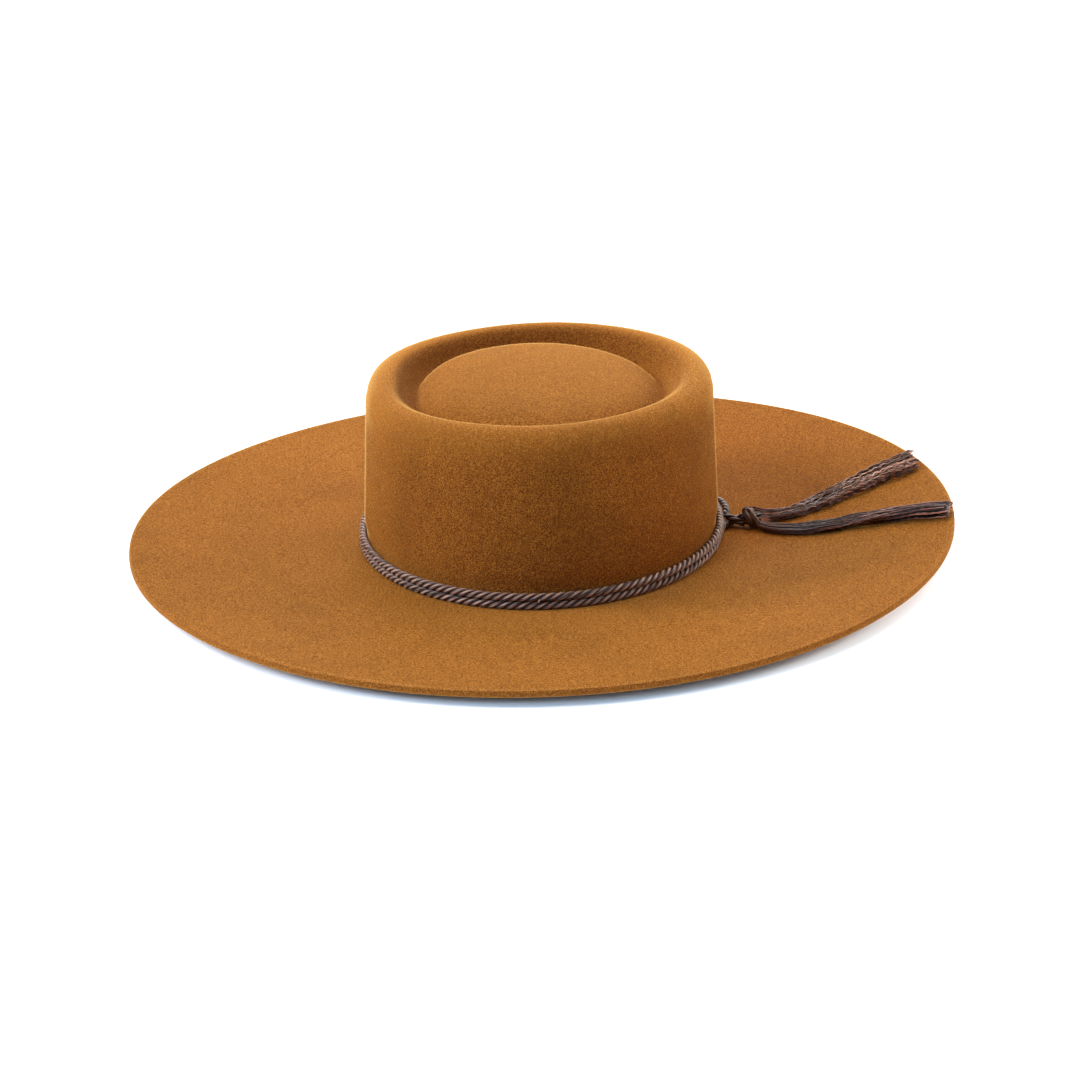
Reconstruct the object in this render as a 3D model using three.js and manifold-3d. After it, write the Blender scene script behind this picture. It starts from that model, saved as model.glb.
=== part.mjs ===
// A huaso hat: a telescope crown and a wide stiff brim blocked from one felt, with a cord wound twice
// round the crown. The cord's two ends are twisted together and knotted at the wearer's left, and beyond
// the knot they are left open as a pair of tassels.
// Millimetres, +Z up. The front of the hat faces -Y and the wearer's left is +X. The origin is the middle
// of the brim's outline, on the surface that the hat rests on.

import * as THREE from "three";
import { mergeVertices } from "three/addons/utils/BufferGeometryUtils.js";
import Module from "manifold-3d";

const wasm = await Module();
wasm.setup();

// The felt and the oval that the head goes into, measured on the outside of the crown's foot.
const BRIM_FELT = 3.0;
const CROWN_FELT = 2.6;
const CROWN_HALF_WIDTH = 86;
const LENGTH_SURPLUS = 22.4;
const FOOT_SQUARENESS = 2.0;
const TOP_SQUARENESS = 2.18;
const TOP_SQUARENESS_AT_SIDES = 0.19;
const TOP_SQUARENESS_AT_LEFT = -0.14;
const RIM_SQUARENESS = 2.02;

// The crown: a nearly upright wall, a rolled lip, a soft channel inside it and a low dome in the middle.
const CROWN_HEIGHT = 83.9;
const WALL_TAPER = 3.0;
const LIP_RADIUS = 9.4;
const FLANK_SLOPE = 2.0;
const CHANNEL_WIDTH = 7.5;
const CHANNEL_SOFTNESS = 5.0;
const DOME_HALF_WIDTH = 60;
const DOME_ABOVE_LIP = 2.8;
const DOME_FALL = 18.2;
const DOME_EDGE_POWER = 10;
const CROWN_LEAN = 1.4;
const LIP_TILT = 2.5;
const LIP_TILT_ASIDE = -0.5;
const DOME_TILT = 1.9;
const DOME_TILT_BACK = -1.4;
const BREAK_RADIUS = 1.6;

// The waist that the tight cord presses into the foot of the wall, and the wall's return above it.
const WAIST_DEPTH = 1.6;
const WAIST_RETURN = 6;

// The brim: flat next to the head and gently raised towards the rim, more so at the sides.
const BRIM_WIDTH = 112.6;
const FLAT_RING = 22;
const RIM_LIFT = 6.1;
const RIM_LIFT_AT_SIDES = 1.8;
const RIM_LIFT_AT_LEFT = 2.3;
const RIM_TWIST = 0.8;
const RIM_CURL = 1.5;

// The cord, its small clearance, and the two ends, which are drawn thinner where they twist together.
const CORD_DIAMETER = 4.2;
const END_DIAMETER = 2.8;
const GAP = 0.3;

// The knot, where the two ends are tied: its place beside the crown, its half sizes, the strands that
// wrap it and the small loop that stands at its upper corner.
const KNOT_DEGREES = -0.9;
const KNOT_OUT = 16.6;
const KNOT_HALF_LENGTH = 4.0;
const KNOT_HALF_WIDTH = 4.6;
const KNOT_HALF_HEIGHT = 4.8;
const KNOT_STRAND = 2.4;
const KNOT_LOOP_RADIUS = 1.9;
const KNOT_WRAPS = [
  { size: 1, tilt: 18 },
  { size: 0.95, tilt: -28 },
];

// The tassels: how far they reach, the head of each at the knot, and the waves of the locks.
const TASSEL_LENGTH = 90;
const HEAD_HALF_LENGTH = 1.9;
const HEAD_HALF_WIDTH = 2.7;
const HEAD_HALF_HEIGHT = 2.3;
const LOCK_FLATNESS = 1.12;
const LOCK_WAVE = 0.9;
const LOCK_WAVE_UP = 0.45;
const LOCK_WAVE_LENGTH = 23;
const LOCK_OFF_FELT = 0.45;

// How finely the forms are drawn.
const AROUND = 60;
const TOP_STATIONS = [14, 25, 34, 41, 47, 51.5, 55, 58, 60.5, 63, 65.2, 67, 69, 71.2];
const LIP_STEPS = 3;
const SLOPE_STEP = 0.2;
const FOLD_STEPS = 2;
const CURL_STATIONS = [0, 0.15, 0.35, 0.65, 1];
const CORD_SIDES = 8;
const LOCK_STEPS = 15;
const LOCK_SIDES = 6;

const CORD_RADIUS = CORD_DIAMETER / 2;
const END_RADIUS = END_DIAMETER / 2;
const LIP_HALF_WIDTH = CROWN_HALF_WIDTH - WALL_TAPER;
const LIP_MIDDLE_WIDTH = LIP_HALF_WIDTH - LIP_RADIUS;
const LIP_MIDDLE_HEIGHT = CROWN_HEIGHT - LIP_RADIUS;
const CHANNEL_RIM = LIP_MIDDLE_WIDTH - LIP_RADIUS;
const FLANK_START = LIP_RADIUS * FLANK_SLOPE / Math.hypot(1, FLANK_SLOPE);
const DOME_TOP = CROWN_HEIGHT + DOME_ABOVE_LIP;
const RIM_HALF_WIDTH = CROWN_HALF_WIDTH + BRIM_WIDTH;
const WAIST_HALF_WIDTH = CROWN_HALF_WIDTH - WAIST_DEPTH;
const WAIST_TOP = BRIM_FELT + 2 * (CORD_DIAMETER + GAP);

const radians = THREE.MathUtils.degToRad;
const mix = THREE.MathUtils.lerp;
const smooth = THREE.MathUtils.smoothstep;
const share = (value, from, to) => THREE.MathUtils.clamp((value - from) / (to - from), 0, 1);

// Distance from the hat's middle to an oval of the given half width, which is longer than it is wide.
function ovalRadius(angle, halfWidth, squareness) {
  const surplus = LENGTH_SURPLUS * Math.min(1, halfWidth / DOME_HALF_WIDTH);
  const across = Math.abs(Math.cos(angle)) / Math.max(halfWidth, 1e-6);
  const along = Math.abs(Math.sin(angle)) / Math.max(halfWidth + surplus, 1e-6);
  return (across ** squareness + along ** squareness) ** (-1 / squareness);
}

// How far the brim's edge is lifted off the surface, round the hat.
function rimLift(angle) {
  return RIM_LIFT + RIM_LIFT_AT_SIDES * Math.cos(2 * angle) + RIM_LIFT_AT_LEFT * Math.cos(angle)
    + RIM_TWIST * Math.sin(2 * angle);
}

// Takes a point of the round profile, at a half width and height, to its place on the oval hat. The lip
// is lower towards the back. The dome leans towards the wearer's left and stands nearly level lengthways.
function hatPoint(angle, halfWidth, height) {
  const outward = share(halfWidth, CROWN_HALF_WIDTH, RIM_HALF_WIDTH);
  const upward = share(height, BRIM_FELT, CROWN_HEIGHT);
  const foot = mix(FOOT_SQUARENESS, RIM_SQUARENESS, outward);
  const top = TOP_SQUARENESS + TOP_SQUARENESS_AT_SIDES * Math.cos(2 * angle)
    + TOP_SQUARENESS_AT_LEFT * Math.cos(angle);
  const reach = ovalRadius(angle, halfWidth, mix(foot, top, upward));
  const lift = rimLift(angle) * share(outward, FLAT_RING / BRIM_WIDTH, 1) ** RIM_CURL;
  const left = reach * Math.cos(angle);
  const back = reach * Math.sin(angle);
  const onDome = 1 - smooth(halfWidth, CHANNEL_RIM - CHANNEL_WIDTH, CHANNEL_RIM);
  const domeTilt = DOME_TILT * left / DOME_HALF_WIDTH
    + DOME_TILT_BACK * back / (DOME_HALF_WIDTH + LENGTH_SURPLUS);
  const tilt = -LIP_TILT * back / (LIP_HALF_WIDTH + LENGTH_SURPLUS)
    - LIP_TILT_ASIDE * left / LIP_HALF_WIDTH - onDome * domeTilt;
  return new THREE.Vector3(left + CROWN_LEAN * upward, back, height + mix(lift, tilt, upward));
}

// The outer half width of the straight part of the wall at a height.
function wallHalfWidth(height) {
  return mix(CROWN_HALF_WIDTH, LIP_HALF_WIDTH, share(height, BRIM_FELT, LIP_MIDDLE_HEIGHT));
}

function arc(centreWidth, centreHeight, radiusAcross, radiusUp, from, to, steps) {
  return Array.from({ length: steps + 1 }, (_, i) => {
    const turn = radians(mix(from, to, i / steps));
    return new THREE.Vector2(
      centreWidth + radiusAcross * Math.cos(turn),
      centreHeight + radiusUp * Math.sin(turn),
    );
  });
}

// The height of the crown's top at a half width. The dome falls towards its edge, the lip falls inwards
// down its flank, and the two meet in a soft channel.
function topHeight(halfWidth) {
  const out = halfWidth / DOME_HALF_WIDTH;
  const dome = DOME_TOP - DOME_FALL * (out ** 2 + out ** DOME_EDGE_POWER) / 2;
  const inward = LIP_MIDDLE_WIDTH - halfWidth;
  const rolled = Math.min(inward, FLANK_START);
  const lip = LIP_MIDDLE_HEIGHT + Math.sqrt(LIP_RADIUS ** 2 - rolled ** 2)
    - FLANK_SLOPE * (inward - rolled);
  return (dome + lip + Math.hypot(dome - lip, CHANNEL_SOFTNESS)) / 2;
}

// One skin of the felt from the dome's middle out to the brim: the outer one, or the inner one, which
// lies a wall's thickness inside it.
function feltSkin(wall, brimHeight) {
  const top = TOP_STATIONS.map((halfWidth) => {
    const rise = topHeight(halfWidth + SLOPE_STEP) - topHeight(halfWidth - SLOPE_STEP);
    const inside = new THREE.Vector2(rise, -2 * SLOPE_STEP).setLength(wall);
    return inside.add(new THREE.Vector2(halfWidth, topHeight(halfWidth)));
  });
  const lip = arc(LIP_MIDDLE_WIDTH, LIP_MIDDLE_HEIGHT, LIP_RADIUS - wall, LIP_RADIUS - wall, 90, 0,
    LIP_STEPS);
  const breakHeight = BRIM_FELT + BREAK_RADIUS;
  const fold = arc(WAIST_HALF_WIDTH + BREAK_RADIUS, breakHeight, BREAK_RADIUS + wall,
    breakHeight - brimHeight, 180, 270, FOLD_STEPS);
  const returnHeight = WAIST_TOP + WAIST_RETURN;
  const returned = new THREE.Vector2(wallHalfWidth(returnHeight) - wall, returnHeight);
  const waist = new THREE.Vector2(WAIST_HALF_WIDTH - wall, WAIST_TOP);
  const middle = lip.at(-1).clone().lerp(returned, 0.5);
  const brim = CURL_STATIONS.map((out) =>
    new THREE.Vector2(mix(CROWN_HALF_WIDTH + FLAT_RING, RIM_HALF_WIDTH, out), brimHeight));
  const domeTop = new THREE.Vector2(0, DOME_TOP - wall);
  return [domeTop, ...top, ...lip, middle, returned, waist, ...fold, ...brim];
}

// Leaves only positions, with shared corners merged and faces without area dropped.
function closedMesh(geometry) {
  const bare = new THREE.BufferGeometry();
  bare.setAttribute("position", geometry.getAttribute("position"));
  bare.setIndex(geometry.getIndex());
  const merged = mergeVertices(bare, 1e-4);
  const index = merged.getIndex().array;
  const kept = [];
  for (let i = 0; i < index.length; i += 3) {
    const [a, b, c] = index.slice(i, i + 3);
    if (a !== b && b !== c && c !== a) {
      kept.push(a, b, c);
    }
  }
  merged.setIndex(kept);
  return merged;
}

// Joins overlapping closed meshes into one body.
function fuse(geometries) {
  const solids = geometries.map((geometry) => {
    const closed = closedMesh(geometry);
    return new wasm.Manifold(new wasm.Mesh({
      numProp: 3,
      vertProperties: new Float32Array(closed.getAttribute("position").array),
      triVerts: new Uint32Array(closed.getIndex().array),
    }));
  });
  const mesh = solids.reduce((joined, solid) => joined.add(solid)).getMesh();
  const fused = new THREE.BufferGeometry();
  fused.setAttribute("position", new THREE.BufferAttribute(mesh.vertProperties, 3));
  fused.setIndex(new THREE.BufferAttribute(mesh.triVerts, 1));
  return fused;
}

function named(name, geometry, color, roughness) {
  geometry.computeVertexNormals();
  const material = new THREE.MeshStandardMaterial({ color, roughness, metalness: 0 });
  const mesh = new THREE.Mesh(geometry, material);
  mesh.name = name;
  return mesh;
}

function feltBody() {
  const profile = [...feltSkin(0, BRIM_FELT), ...feltSkin(CROWN_FELT, 0).reverse()];
  const lathe = new THREE.LatheGeometry(profile.reverse(), AROUND).rotateX(Math.PI / 2);
  const position = lathe.getAttribute("position");
  for (let i = 0; i < position.count; i += 1) {
    const angle = Math.atan2(position.getY(i), position.getX(i));
    const halfWidth = Math.hypot(position.getX(i), position.getY(i));
    const place = hatPoint(angle, halfWidth, position.getZ(i));
    position.setXYZ(i, place.x, place.y, place.z);
  }
  return closedMesh(lathe);
}

// A place beside the crown: degrees round from the wearer's left, out from the wall, up from the brim.
function besideCrown(degrees, out, up) {
  return hatPoint(radians(degrees), WAIST_HALF_WIDTH + out, BRIM_FELT + up).setZ(BRIM_FELT + up);
}

// The height of the brim's upper face under a place.
function brimTop(x, y) {
  const angle = Math.atan2(y, x);
  const reach = Math.hypot(x, y);
  let inner = CROWN_HALF_WIDTH;
  let outer = RIM_HALF_WIDTH;
  for (let i = 0; i < 30; i += 1) {
    const middle = (inner + outer) / 2;
    const place = hatPoint(angle, middle, BRIM_FELT);
    if (Math.hypot(place.x, place.y) < reach) {
      inner = middle;
    } else {
      outer = middle;
    }
  }
  return hatPoint(angle, inner, BRIM_FELT).z;
}

// A closed tube along a line of stations, each with its middle, half width and half thickness.
function tube(stations, sides) {
  const corners = [];
  const faces = [];
  const up = new THREE.Vector3(0, 0, 1);
  const last = stations.length - 1;
  stations.forEach(({ middle, width, thick }, i) => {
    const ahead = stations[Math.min(i + 1, last)].middle.clone();
    const along = ahead.sub(stations[Math.max(i - 1, 0)].middle).normalize();
    const side = along.clone().cross(up).normalize();
    const top = side.clone().cross(along);
    for (let k = 0; k < sides; k += 1) {
      const turn = 2 * Math.PI * (k + 0.5) / sides;
      const corner = middle.clone()
        .addScaledVector(side, width * Math.cos(turn))
        .addScaledVector(top, thick * Math.sin(turn));
      corners.push(corner.x, corner.y, corner.z);
      if (i < last) {
        const here = i * sides + k;
        const beside = i * sides + (k + 1) % sides;
        faces.push(here, beside + sides, beside, here, here + sides, beside + sides);
      }
    }
  });
  for (let k = 1; k < sides - 1; k += 1) {
    const end = last * sides;
    faces.push(0, k, k + 1);
    faces.push(end, end + k + 1, end + k);
  }
  const geometry = new THREE.BufferGeometry();
  geometry.setAttribute("position", new THREE.Float32BufferAttribute(corners, 3));
  geometry.setIndex(faces);
  return geometry;
}

const knotFoot = besideCrown(KNOT_DEGREES, KNOT_OUT, 0);
const knotMiddle = knotFoot.clone().setZ(
  brimTop(knotFoot.x, knotFoot.y) + KNOT_HALF_HEIGHT + GAP);

// The cord's route where its ends leave the crown, chosen by hand. Out, up and thick are shares of the
// cord's diameter.
const FIRST_END = [
  { degrees: 0.3, out: 1.81, up: 1.5, thick: 0.67 },
  { degrees: 4.5, out: 1.6, up: 1.64, thick: 0.67 },
  { degrees: 9.5, out: 1.33, up: 1.71, thick: 0.71 },
  { degrees: 14.5, out: 0.98, up: 1.74, thick: 0.83 },
  { degrees: 19, out: 0.69, up: 1.71, thick: 0.95 },
];
const SECOND_END = [
  { degrees: -9.5, out: 0.6, up: 0.57, thick: 0.95 },
  { degrees: -5.6, out: 0.95, up: 0.67, thick: 0.81 },
  { degrees: -2.6, out: 1.57, up: 0.81, thick: 0.67 },
];
const TWIST_ROOT = { degrees: -1.2, out: 1.95, up: 1.17, thick: 0.67 };
const TWIST_GOAL_DOWN = 0.4;
const TWIST_DEGREES = 120;
const TURNS_FROM = 24;
const TURNS_TO = 702;
const STEP_DOWN_FROM = 352;
const STEP_DOWN_TO = 374;

const cordPlace = ({ degrees, out, up, thick }) => ({
  middle: besideCrown(degrees, out * CORD_DIAMETER, up * CORD_DIAMETER),
  radius: thick * CORD_RADIUS,
});

// The two ends twist round one another between the crown and the knot.
function twistedEnd(side) {
  const root = cordPlace(TWIST_ROOT).middle;
  const goal = knotMiddle.clone().add(
    new THREE.Vector3(-KNOT_HALF_LENGTH - END_RADIUS / 2, 0, -TWIST_GOAL_DOWN));
  const along = goal.clone().sub(root).normalize();
  const across = along.clone().cross(new THREE.Vector3(0, 0, 1)).normalize();
  const top = across.clone().cross(along);
  const offset = END_RADIUS + GAP / 2;
  return [0, 0.5, 1].map((step) => {
    const turn = radians(90 + side * 90 + TWIST_DEGREES * step);
    const middle = root.clone().lerp(goal, step)
      .addScaledVector(top, offset * Math.cos(turn))
      .addScaledVector(across, offset * Math.sin(turn));
    return { middle, radius: END_RADIUS };
  });
}

// The whole cord: one end, the upper turn, the lower turn and the other end.
function hatCord() {
  const upperTurn = 2 * GAP + 3 * CORD_RADIUS;
  const lowerTurn = GAP + CORD_RADIUS;
  const turns = [];
  for (let degrees = TURNS_FROM; degrees <= TURNS_TO; degrees += 360 / AROUND) {
    const down = share(degrees, STEP_DOWN_FROM, STEP_DOWN_TO);
    const up = mix(upperTurn, lowerTurn, down * down * (3 - 2 * down));
    turns.push({ middle: besideCrown(degrees, GAP + CORD_RADIUS, up), radius: CORD_RADIUS });
  }
  const route = [
    ...twistedEnd(-1).reverse(),
    ...FIRST_END.map(cordPlace),
    ...turns,
    ...SECOND_END.map(cordPlace),
    ...twistedEnd(1),
  ];
  return tube(route.map(({ middle, radius }) => ({ middle, width: radius, thick: radius })), CORD_SIDES);
}

// The knot: a tight ball with the strands that wrap it and its small loop.
function cordKnot() {
  const core = new THREE.SphereGeometry(1, 12, 8).scale(
    KNOT_HALF_LENGTH - KNOT_STRAND / 5, KNOT_HALF_WIDTH - KNOT_STRAND / 5, KNOT_HALF_HEIGHT);
  const wraps = KNOT_WRAPS.map(({ size, tilt }) =>
    new THREE.TorusGeometry(size * (KNOT_HALF_HEIGHT - KNOT_STRAND / 2), KNOT_STRAND / 2, 6, 12)
      .rotateY(Math.PI / 2)
      .rotateY(radians(tilt)));
  const loop = new THREE.SphereGeometry(KNOT_LOOP_RADIUS, 8, 6).translate(
    KNOT_LOOP_RADIUS - KNOT_HALF_LENGTH, KNOT_LOOP_RADIUS / 3, KNOT_HALF_HEIGHT - KNOT_LOOP_RADIUS / 2);
  return fuse([core, ...wraps, loop].map((geometry) => geometry.translate(...knotMiddle.toArray())));
}

// Each tassel's route over the brim, chosen by hand. It starts at the seat of the tassel's head against
// the knot. Along and aside are shares of the tassel's length from there, rise is a share of the knot's
// half height above lying on the felt, and spread and thick are shares of the cord's radius.
const backSeat = {
  x: knotMiddle.x + 0.65 * KNOT_HALF_LENGTH + GAP + HEAD_HALF_LENGTH,
  y: knotMiddle.y + 0.54 * KNOT_HALF_WIDTH,
};
const BACK_ROUTE = [
  { along: 0, aside: 0, rise: 1, spread: 0.33, thick: 0.86 },
  { along: 0.05, aside: 0.028, rise: 0.58, spread: 0.62, thick: 0.9 },
  { along: 0.106, aside: 0.041, rise: 0.19, spread: 1.05, thick: 1 },
  { along: 0.228, aside: 0.093, rise: 0.08, spread: 1.43, thick: 1.05 },
  { along: 0.394, aside: 0.207, rise: 0.06, spread: 2, thick: 1.14 },
  { along: 0.561, aside: 0.312, rise: 0.06, spread: 2.48, thick: 1.24 },
  { along: 0.728, aside: 0.429, rise: 0.08, spread: 2.86, thick: 1.29 },
  { along: 0.894, aside: 0.534, rise: 0.12, spread: 3.14, thick: 1.24 },
];
const frontSeat = {
  x: knotMiddle.x + 0.87 * KNOT_HALF_LENGTH,
  y: knotMiddle.y - 0.44 * KNOT_HALF_WIDTH - GAP - HEAD_HALF_WIDTH,
};
const FRONT_ROUTE = [
  { along: 0, aside: 0, rise: 0.21, spread: 0.38, thick: 0.86 },
  { along: 0.064, aside: -0.062, rise: 0.13, spread: 0.71, thick: 0.9 },
  { along: 0.153, aside: -0.104, rise: 0.08, spread: 0.95, thick: 0.95 },
  { along: 0.264, aside: -0.136, rise: 0.06, spread: 1.19, thick: 1 },
  { along: 0.431, aside: -0.119, rise: 0.06, spread: 1.24, thick: 1 },
  { along: 0.62, aside: -0.116, rise: 0.06, spread: 1.38, thick: 1.05 },
  { along: 0.82, aside: -0.141, rise: 0.06, spread: 1.57, thick: 1.14 },
  { along: 1, aside: -0.207, rise: 0.06, spread: 1.76, thick: 1.19 },
];

// A tassel: three wavy locks, one for each ply of the opened cord, fused to the head at the knot.
function tassel(seat, route, phase) {
  const thickness = ({ thick }) => thick * CORD_RADIUS;
  const rows = route.map((row) => new THREE.Vector3(
    seat.x + row.along * TASSEL_LENGTH,
    seat.y + row.aside * TASSEL_LENGTH,
    thickness(row) + LOCK_OFF_FELT + row.rise * KNOT_HALF_HEIGHT));
  const curve = new THREE.CatmullRomCurve3(rows);
  const length = curve.getLength();
  const column = (name, at) => {
    const spot = at * (route.length - 1);
    const row = Math.min(Math.floor(spot), route.length - 2);
    return mix(route[row][name], route[row + 1][name], spot - row);
  };
  const locks = [-1, 0, 1].map((lane) => {
    const stations = Array.from({ length: LOCK_STEPS + 1 }, (_, i) => {
      const at = i / LOCK_STEPS;
      const middle = curve.getPoint(at);
      const along = curve.getTangent(at).setZ(0).normalize();
      const grown = Math.min(1, 3 * at);
      const wave = grown * Math.sin(2 * Math.PI * at * length / LOCK_WAVE_LENGTH + phase + 2 * lane);
      const aside = lane * column("spread", at) * CORD_RADIUS + LOCK_WAVE * wave;
      middle.x += along.y * aside;
      middle.y -= along.x * aside;
      const radius = column("thick", at) * CORD_RADIUS;
      middle.z = brimTop(middle.x, middle.y)
        + Math.max(middle.z + LOCK_WAVE_UP * wave, radius + LOCK_OFF_FELT);
      return { middle, width: radius * LOCK_FLATNESS, thick: radius };
    });
    return tube(stations, LOCK_SIDES);
  });
  const head = new THREE.SphereGeometry(1, 8, 6)
    .scale(HEAD_HALF_LENGTH, HEAD_HALF_WIDTH, HEAD_HALF_HEIGHT)
    .translate(seat.x, seat.y, brimTop(seat.x, seat.y) + rows[0].z);
  return fuse([...locks, head]);
}

const FELT_COLOR = 0xb4691c;
const CORD_COLOR = 0x6a5550;
const hat = new THREE.Group();
hat.add(named("felt_body", feltBody(), FELT_COLOR, 0.95));
hat.add(named("hat_cord", closedMesh(hatCord()), CORD_COLOR, 0.6));
hat.add(named("cord_knot", cordKnot(), CORD_COLOR, 0.6));
hat.add(named("tassel_back", tassel(backSeat, BACK_ROUTE, 0.6), CORD_COLOR, 0.65));
hat.add(named("tassel_front", tassel(frontSeat, FRONT_ROUTE, 2.1), CORD_COLOR, 0.65));

export default hat;
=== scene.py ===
import math

import bpy
import numpy as np
from mathutils import Matrix


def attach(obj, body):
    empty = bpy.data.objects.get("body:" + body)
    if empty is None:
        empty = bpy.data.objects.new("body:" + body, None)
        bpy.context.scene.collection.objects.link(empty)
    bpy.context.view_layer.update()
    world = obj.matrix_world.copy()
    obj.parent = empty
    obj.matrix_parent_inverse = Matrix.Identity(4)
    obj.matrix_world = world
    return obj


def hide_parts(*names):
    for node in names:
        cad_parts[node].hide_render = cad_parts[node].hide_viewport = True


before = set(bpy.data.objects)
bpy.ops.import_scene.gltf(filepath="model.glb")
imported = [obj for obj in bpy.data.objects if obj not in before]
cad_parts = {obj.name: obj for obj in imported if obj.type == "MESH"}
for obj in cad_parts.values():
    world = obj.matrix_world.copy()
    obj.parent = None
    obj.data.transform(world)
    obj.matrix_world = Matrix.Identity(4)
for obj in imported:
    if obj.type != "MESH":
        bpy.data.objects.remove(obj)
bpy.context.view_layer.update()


# Camera. It stands in front of the hat and about nineteen degrees above the table, as in the photograph,
# and leans a little to one side.
CAMERA_DISTANCE = 1.700
CAMERA_ELEVATION = math.radians(18.97)
CAMERA_LEAN = math.radians(-1.94)
CAMERA_SENSOR = 36.0
CAMERA_LENS = 116.74

camera_data = bpy.data.cameras.new("camera")
camera_data.sensor_width = CAMERA_SENSOR
camera_data.lens = CAMERA_LENS
camera_data.shift_x = -0.0016
camera_data.shift_y = -0.0018
camera = bpy.data.objects.new("camera", camera_data)
bpy.context.scene.collection.objects.link(camera)
camera.matrix_world = (
    Matrix.Translation((
        0.0,
        -CAMERA_DISTANCE * math.cos(CAMERA_ELEVATION),
        CAMERA_DISTANCE * math.sin(CAMERA_ELEVATION),
    ))
    @ Matrix.Rotation(math.pi / 2 - CAMERA_ELEVATION, 4, "X")
    @ Matrix.Rotation(CAMERA_LEAN, 4, "Z")
)
bpy.context.scene.camera = camera


# Felt body. Crown and brim are one hood of stiffened wool felt, steamed and pulled over an oval block,
# with a rolled lip, a sunk channel and a low dome on top. The brim's edge is cut square and left raw.
FELT_BRIM = 0.0030
FELT_CROWN = 0.0026
CROWN_HALF_WIDTH = 0.0860
LENGTH_SURPLUS = 0.0224
TOP_SQUARENESS = 2.18
TOP_SQUARENESS_AT_SIDES = 0.19
TOP_SQUARENESS_AT_LEFT = -0.14
CROWN_HEIGHT = 0.0839
LIP_HALF_WIDTH = 0.0830
LIP_RADIUS = 0.0094
LIP_MIDDLE_WIDTH = 0.0736
LIP_MIDDLE_HEIGHT = 0.0745
FLANK_SLOPE = 2.0
FLANK_START = 0.00841
CHANNEL_RIM = 0.0642
CHANNEL_WIDTH = 0.0075
CHANNEL_SOFTNESS = 0.0050
DOME_HALF_WIDTH = 0.0600
DOME_TOP = 0.0867
DOME_FALL = 0.0182
DOME_EDGE_POWER = 10
CROWN_LEAN = 0.0014
LIP_TILT = 0.0025
LIP_TILT_ASIDE = -0.0005
DOME_TILT = 0.0019
DOME_TILT_BACK = -0.0014
WAIST_HALF_WIDTH = 0.0844
WAIST_TOP = 0.0120
WAIST_RETURN = 0.0060
BREAK_RADIUS = 0.0016
RIM_HALF_WIDTH = 0.1986
FLAT_RING = 0.0220
RIM_SQUARENESS = 0.02
RIM_CURL = 1.5
RIM_LIFT = 0.0061
RIM_LIFT_AT_SIDES = 0.0018
RIM_LIFT_AT_LEFT = 0.0023
RIM_LIFT_ASLANT = 0.0008
EDGE_ROUND = 0.00045
EDGE_BULGE = 0.00008
FELT_SEGMENTS = 320
TOP_ROWS = 77
ROLL_ROWS = 14
FLANK_ROWS = 30
FOLD_ROWS = 8
BRIM_ROWS = 42
RIM_ROWS = (0.9915, 0.9945, 1.0)
SLOPE_STEP = 0.0002


def ramp(value, low, high):
    return np.clip((value - low) / (high - low), 0.0, 1.0)


def smooth_ramp(value, low, high):
    share = ramp(value, low, high)
    return share * share * (3.0 - 2.0 * share)


def block_on_oval(round_points):
    """Takes points of the round hood to their places on the oval, gently curled hat."""
    x, y, z = np.asarray(round_points, float).T
    angle = np.arctan2(y, x)
    half_width = np.maximum(np.hypot(x, y), 1e-7)
    outward = ramp(half_width, CROWN_HALF_WIDTH, RIM_HALF_WIDTH)
    upward = ramp(z, FELT_BRIM, CROWN_HEIGHT)
    squareness = 2.0 + RIM_SQUARENESS * outward
    top = (TOP_SQUARENESS + TOP_SQUARENESS_AT_SIDES * np.cos(2 * angle)
           + TOP_SQUARENESS_AT_LEFT * np.cos(angle))
    squareness = squareness + (top - squareness) * upward
    surplus = LENGTH_SURPLUS * np.minimum(1.0, half_width / DOME_HALF_WIDTH)
    across = (np.abs(np.cos(angle)) / half_width) ** squareness
    along = (np.abs(np.sin(angle)) / (half_width + surplus)) ** squareness
    reach = (across + along) ** (-1.0 / squareness)
    rim_lift = (RIM_LIFT + RIM_LIFT_AT_SIDES * np.cos(2 * angle) + RIM_LIFT_AT_LEFT * np.cos(angle)
                + RIM_LIFT_ASLANT * np.sin(2 * angle))
    curl = ramp(outward, FLAT_RING / (RIM_HALF_WIDTH - CROWN_HALF_WIDTH), 1.0) ** RIM_CURL
    left, back = reach * np.cos(angle), reach * np.sin(angle)
    on_dome = 1.0 - smooth_ramp(half_width, CHANNEL_RIM - CHANNEL_WIDTH, CHANNEL_RIM)
    dome_tilt = (DOME_TILT * left / DOME_HALF_WIDTH
                 + DOME_TILT_BACK * back / (DOME_HALF_WIDTH + LENGTH_SURPLUS))
    tilt = (-LIP_TILT * back / (LIP_HALF_WIDTH + LENGTH_SURPLUS)
            - LIP_TILT_ASIDE * left / LIP_HALF_WIDTH - on_dome * dome_tilt)
    lift = rim_lift * curl
    return np.stack([
        left + CROWN_LEAN * upward,
        back,
        z + lift + (tilt - lift) * upward,
    ], axis=1)


def arc(middle, height, radius, start, stop, steps):
    turns = np.radians(np.linspace(start, stop, steps))
    return [(middle + radius * math.cos(t), height + radius * math.sin(t)) for t in turns]


def top_height(half_width):
    """The crown's top: the dome falls to its edge, the lip falls inwards, a soft channel joins them."""
    out = half_width / DOME_HALF_WIDTH
    dome = DOME_TOP - DOME_FALL * (out ** 2 + out ** DOME_EDGE_POWER) / 2
    inward = LIP_MIDDLE_WIDTH - half_width
    rolled = min(inward, FLANK_START)
    lip = LIP_MIDDLE_HEIGHT + math.sqrt(LIP_RADIUS ** 2 - rolled ** 2) - FLANK_SLOPE * (inward - rolled)
    return (dome + lip + math.hypot(dome - lip, CHANNEL_SOFTNESS)) / 2


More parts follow.
